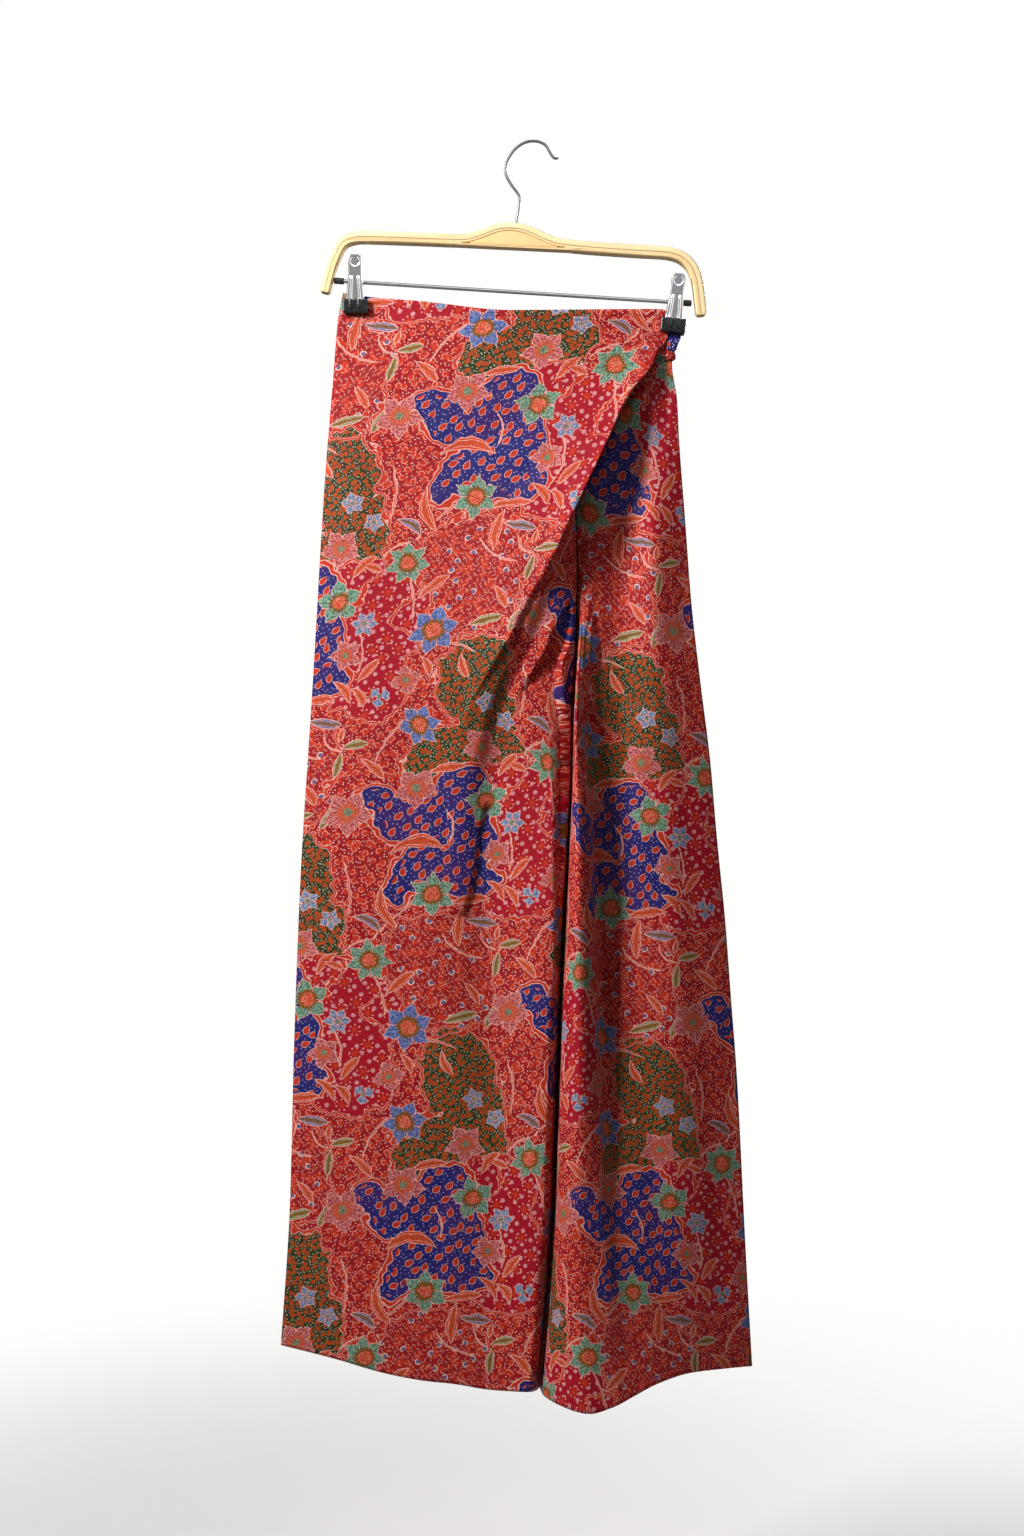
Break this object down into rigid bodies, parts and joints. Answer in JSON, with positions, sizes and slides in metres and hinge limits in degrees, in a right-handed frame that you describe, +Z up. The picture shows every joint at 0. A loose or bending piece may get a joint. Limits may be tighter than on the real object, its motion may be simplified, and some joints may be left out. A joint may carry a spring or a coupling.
{
  "type": "wrap pants on a clip hanger",
  "caption": "Floral-print cotton wrap pants with a draped crossover front, hung by the waist from a bent-wood hanger with sliding metal clips.",
  "frame": {"origin": "inside of the top of the hanger's hook, where it hangs on a rail", "axes": "+Z up, +X to the right as seen from the front, -Y towards the viewer"},
  "size_m": [0.4714, 0.0892, 1.2485],
  "materials": {
    "printed_cotton": "plain-weave cotton, slightly lustrous, printed all over",
    "blue_tie_cotton": "plain-weave cotton, blue ground of the same print",
    "pale_wood": "clear satin varnish",
    "darker_wood": "clear satin varnish",
    "bright_steel": "plated, polished",
    "plated_lever": "plated, polished",
    "spring_steel": "bare spring steel",
    "black_plastic": "moulded",
    "black_pad": "dipped, soft satin"
  },
  "bodies": {
    "root": {"wrap_front": "printed_cotton", "right_front": "printed_cotton", "left_back": "printed_cotton", "right_back": "printed_cotton", "tie_knot": "printed_cotton", "waist_tie": "blue_tie_cotton", "bow_upper": "pale_wood", "bow_lower": "pale_wood", "bow_plate": "darker_wood", "hanger_hook": "bright_steel", "hanger_rod": "bright_steel", "rod_cap_left": "black_plastic", "rod_cap_right": "black_plastic", "clip_left_front_lever": "plated_lever", "clip_left_back_lever": "plated_lever", "clip_left_barrel": "spring_steel", "clip_left_front_pad": "black_pad", "clip_left_back_pad": "black_pad", "clip_right_front_lever": "plated_lever", "clip_right_back_lever": "plated_lever", "clip_right_barrel": "spring_steel", "clip_right_front_pad": "black_pad", "clip_right_back_pad": "black_pad"}
  },
  "joints": []
}
